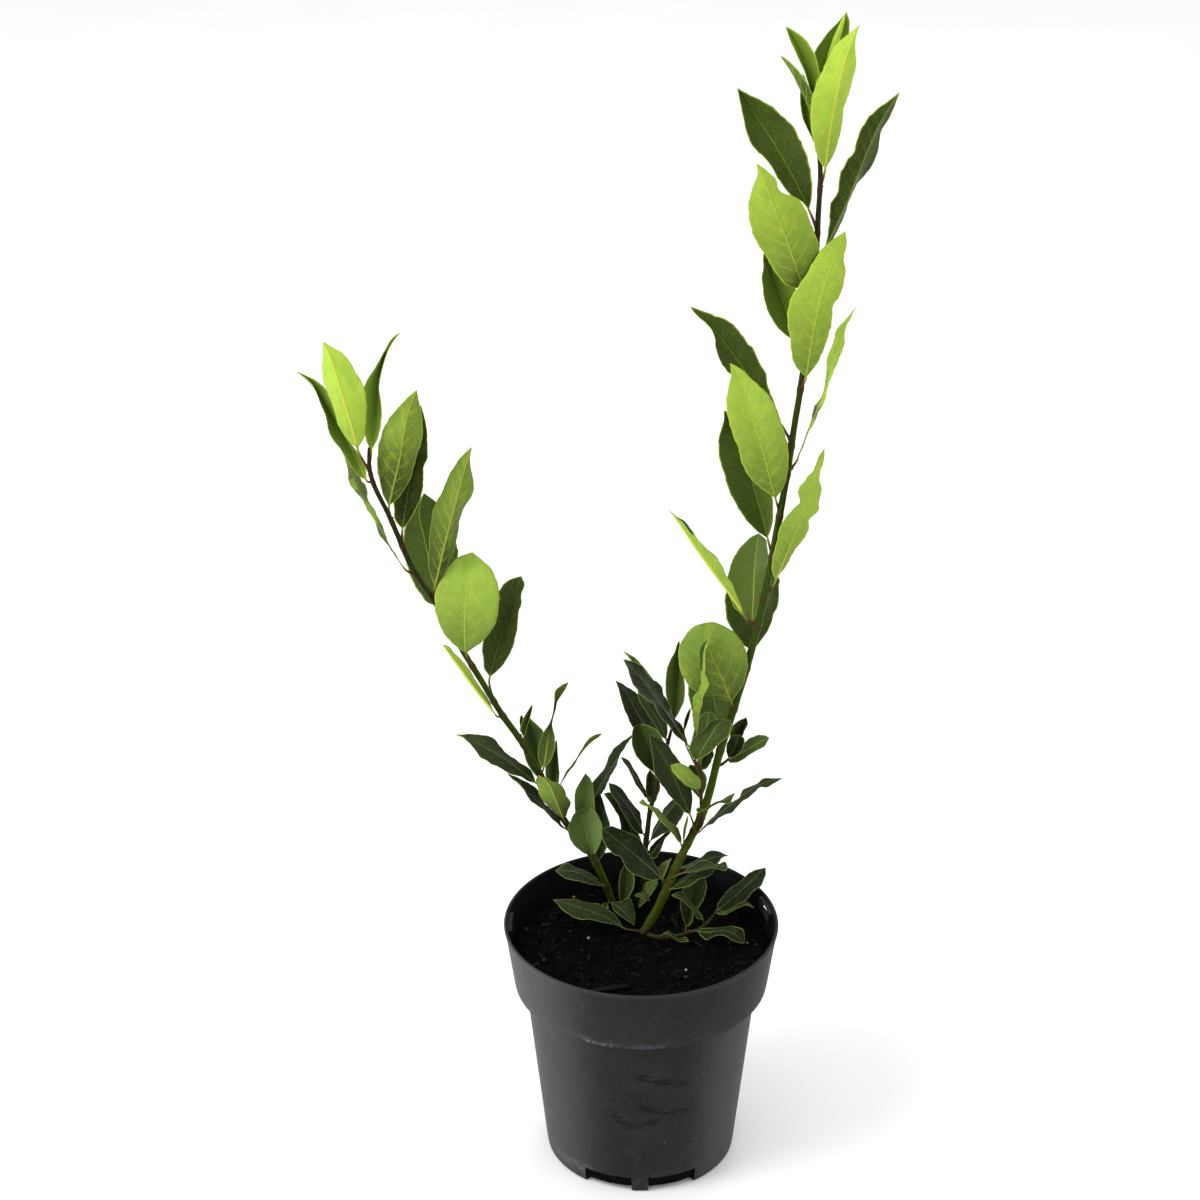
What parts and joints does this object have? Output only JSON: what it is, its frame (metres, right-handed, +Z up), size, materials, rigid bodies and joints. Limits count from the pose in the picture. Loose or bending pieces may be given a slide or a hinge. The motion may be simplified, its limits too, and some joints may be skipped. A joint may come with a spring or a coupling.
{
  "type": "bay laurel in a pot",
  "caption": "Young bay laurel shrub with leaning stems and glossy leaves, growing in a round tapered plastic nursery pot with a stepped rim band.",
  "frame": {"origin": "centre of the pot's flat underside", "axes": "+Z up along the pot's axis; +X to the right and +Y to the back as the plant faces the viewer"},
  "size_m": [0.4057, 0.2086, 0.8503],
  "materials": {
    "pot_plastic": "satin, slightly dusty",
    "potting_mix": "crumbly, damp",
    "stem_bark": "smooth green bark, red-brown at the nodes",
    "leaf_dark": "leathery, semi-gloss upper face",
    "leaf_pale": "leathery, matte pale under face"
  },
  "bodies": {
    "root": {"pot": "pot_plastic", "soil": "potting_mix", "right_stem": "stem_bark", "left_stem": "stem_bark", "centre_stem": "stem_bark", "low_branch": "stem_bark", "inner_sprig": "stem_bark", "side_twig": "stem_bark", "leaf_r01": "leaf_dark", "leaf_r02": "leaf_dark", "leaf_r03": "leaf_pale", "leaf_r04": "leaf_pale", "leaf_r05": "leaf_dark", "leaf_r07": "leaf_dark", "leaf_r08": "leaf_pale", "leaf_r09": "leaf_pale", "leaf_r10": "leaf_dark", "leaf_r11": "leaf_dark", "leaf_r12": "leaf_pale", "leaf_r13": "leaf_pale", "leaf_r14": "leaf_dark", "leaf_r15": "leaf_pale", "leaf_r16": "leaf_pale", "leaf_r17": "leaf_dark", "leaf_r18": "leaf_dark", "leaf_r19": "leaf_pale", "leaf_r20": "leaf_pale", "leaf_r23": "leaf_dark", "leaf_r26": "leaf_dark", "leaf_e1": "leaf_pale", "leaf_c07": "leaf_dark", "leaf_k2": "leaf_dark", "leaf_g2": "leaf_dark", "leaf_l01": "leaf_pale", "leaf_l02": "leaf_dark", "leaf_l03": "leaf_dark", "leaf_l04": "leaf_pale", "leaf_l05": "leaf_dark", "leaf_l06": "leaf_dark", "leaf_l07": "leaf_dark", "leaf_l09": "leaf_dark", "leaf_l10": "leaf_pale", "leaf_l11": "leaf_dark", "leaf_l12": "leaf_pale", "leaf_m01": "leaf_dark", "leaf_m03": "leaf_dark", "leaf_m05": "leaf_dark", "leaf_m07": "leaf_dark", "leaf_g01": "leaf_dark", "leaf_d04": "leaf_dark", "leaf_d02": "leaf_dark", "leaf_d05": "leaf_dark", "leaf_h01": "leaf_dark", "leaf_h02": "leaf_dark", "leaf_c02": "leaf_dark", "leaf_c06": "leaf_dark", "leaf_g03": "leaf_dark", "leaf_g03b": "leaf_dark", "leaf_g04": "leaf_dark"}
  },
  "joints": []
}
